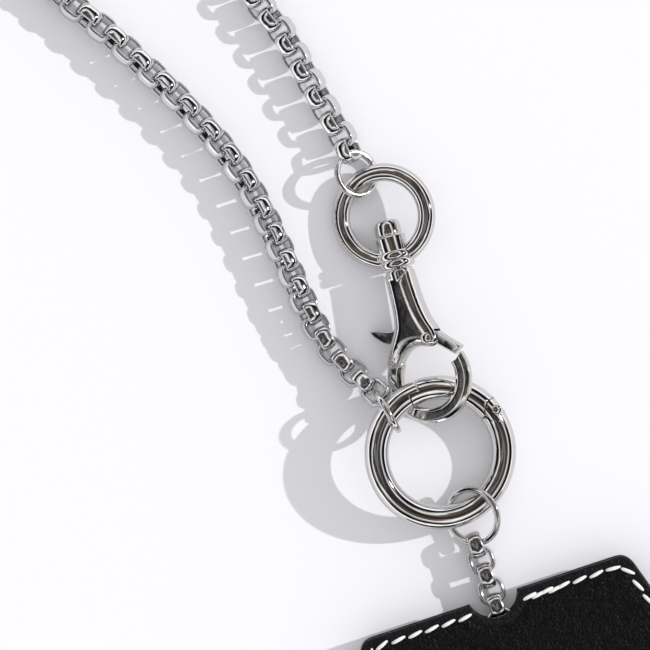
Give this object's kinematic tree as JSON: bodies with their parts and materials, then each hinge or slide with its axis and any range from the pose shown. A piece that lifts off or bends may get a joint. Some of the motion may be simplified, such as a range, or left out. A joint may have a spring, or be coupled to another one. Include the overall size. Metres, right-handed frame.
{
  "type": "chain wallet",
  "caption": "Small black leather wallet with a thumb notch, a box chain, a gate ring and a swivel trigger clip hooked on the ring.",
  "frame": {"origin": "middle of the flat rear face of the wallet", "axes": "+X along the top edge, +Y from the wallet towards the chain, +Z out of the rear face, up off the table"},
  "size_m": [0.1052, 0.3116, 0.0153],
  "materials": {
    "leather": "fine grain, semi-matt",
    "edge_leather": "burnished edge",
    "lining": "matt",
    "ring_steel": "mirror polish",
    "clip_steel": "polish",
    "chain_steel": "polish",
    "rivet_steel": "satin"
  },
  "bodies": {
    "wallet": {"rear_panel": "leather", "front_panel": "leather", "rear_lining": "lining", "front_lining": "lining", "card_divider": "lining", "rear_welt": "edge_leather", "front_welt": "edge_leather", "anchor_rivet": "rivet_steel", "anchor_washer": "rivet_steel"},
    "link_1": {"short_link_1": "chain_steel"},
    "link_2": {"short_link_2": "chain_steel"},
    "link_3": {"short_link_3": "chain_steel"},
    "link_4": {"short_link_4": "chain_steel"},
    "link_5": {"short_link_5": "chain_steel"},
    "link_6": {"short_link_6": "chain_steel"},
    "ring_joiner": {"jump_ring_short_chain": "chain_steel"},
    "gate_ring": {"gate_ring_body": "ring_steel", "gate_pin": "ring_steel"},
    "gate": {"ring_gate": "ring_steel"},
    "clip": {"clip_body": "clip_steel", "lever_pin": "clip_steel", "swivel_stem": "clip_steel"},
    "trigger": {"trigger_lever": "clip_steel"},
    "eye": {"swivel_eye": "clip_steel"},
    "chain_beside_clip": {"jump_ring_long_chain": "chain_steel", "chain_left_1": "chain_steel", "chain_left_2": "chain_steel", "chain_left_3": "chain_steel"},
    "loop_1": {"jump_ring_swivel": "chain_steel", "chain_right_1": "chain_steel", "chain_left_4": "chain_steel"},
    "loop_2": {"chain_left_5": "chain_steel", "chain_right_2": "chain_steel"},
    "loop_3": {"chain_left_6": "chain_steel", "chain_right_3": "chain_steel"},
    "loop_4": {"chain_left_7": "chain_steel", "chain_right_4": "chain_steel"},
    "loop_5": {"chain_bend_1": "chain_steel", "chain_bend_2": "chain_steel", "chain_bend_3": "chain_steel"}
  },
  "joints": [
    {"name": "anchor_swing", "type": "hinge", "parent": "wallet", "child": "link_1", "pos_m": [0, 0.0403, 0.00375], "axis": [0, 0, 1], "range_deg": [-10, 10]},
    {"name": "link_2_lift", "type": "hinge", "parent": "link_1", "child": "link_2", "pos_m": [0, 0.04315, 0.00375], "axis": [1, 0, 0], "range_deg": [0, 10]},
    {"name": "link_3_lift", "type": "hinge", "parent": "link_2", "child": "link_3", "pos_m": [0, 0.04715, 0.00375], "axis": [1, 0, 0], "range_deg": [0, 10]},
    {"name": "link_4_lift", "type": "hinge", "parent": "link_3", "child": "link_4", "pos_m": [0, 0.05115, 0.00375], "axis": [1, 0, 0], "range_deg": [0, 10]},
    {"name": "link_5_lift", "type": "hinge", "parent": "link_4", "child": "link_5", "pos_m": [0, 0.05515, 0.00375], "axis": [1, 0, 0], "range_deg": [0, 10]},
    {"name": "link_6_lift", "type": "hinge", "parent": "link_5", "child": "link_6", "pos_m": [0, 0.05915, 0.00375], "axis": [1, 0, 0], "range_deg": [0, 8]},
    {"name": "joiner_lift", "type": "hinge", "parent": "link_6", "child": "ring_joiner", "pos_m": [0, 0.0611, 0.0033], "axis": [1, 0, 0], "range_deg": [0, 6]},
    {"name": "ring_lift", "type": "hinge", "parent": "ring_joiner", "child": "gate_ring", "pos_m": [0.0014, 0.0714, 0.0048], "axis": [1, 0, 0], "range_deg": [0, 10]},
    {"name": "gate_opening", "type": "hinge", "parent": "gate_ring", "child": "gate", "pos_m": [0.01501, 0.09183, 0.00478], "axis": [0.1669, -0.0884, 0.982], "range_deg": [0, 1.5], "stiffness_Nm_per_rad": 0.01, "springref_deg": -22.92},
    {"name": "clip_lift", "type": "hinge", "parent": "gate_ring", "child": "clip", "pos_m": [-0.00057, 0.10075, 0.006], "axis": [0.9842, -0.0545, -0.1686], "range_deg": [0, 9]},
    {"name": "left_strand_lift", "type": "hinge", "parent": "gate_ring", "child": "chain_beside_clip", "pos_m": [-0.00057, 0.10075, 0.006], "axis": [0.9842, -0.0545, -0.1686], "range_deg": [0, 9]},
    {"name": "trigger_pull", "type": "hinge", "parent": "clip", "child": "trigger", "pos_m": [0.00579, 0.11383, 0.00891], "axis": [0.4509, -0.078, -0.8891], "range_deg": [0, 22], "stiffness_Nm_per_rad": 0.02, "springref_deg": -22.92},
    {"name": "eye_swivel", "type": "hinge", "parent": "clip", "child": "eye", "pos_m": [0.00405, 0.14617, 0.00519], "axis": [0.0453, 0.9969, -0.0645], "range_deg": [-12, 1.5]},
    {"name": "loop_1_lift", "type": "hinge", "parent": "clip", "child": "loop_1", "pos_m": [0.0016, 0.1568, 0.0021], "axis": [1, 0, 0], "range_deg": [0, 6]},
    {"name": "loop_2_lift", "type": "hinge", "parent": "loop_1", "child": "loop_2", "pos_m": [0, 0.178, 0.00395], "axis": [1, 0, 0], "range_deg": [0, 10]},
    {"name": "loop_3_lift", "type": "hinge", "parent": "loop_2", "child": "loop_3", "pos_m": [0, 0.2, 0.00395], "axis": [1, 0, 0], "range_deg": [0, 10]},
    {"name": "loop_4_lift", "type": "hinge", "parent": "loop_3", "child": "loop_4", "pos_m": [0, 0.222, 0.00395], "axis": [1, 0, 0], "range_deg": [0, 10]},
    {"name": "loop_5_lift", "type": "hinge", "parent": "loop_4", "child": "loop_5", "pos_m": [0, 0.24, 0.00395], "axis": [1, 0, 0], "range_deg": [0, 10]}
  ],
  "couplings": [
    {"joint": "left_strand_lift", "follows": "clip_lift", "ratio": 1}
  ]
}
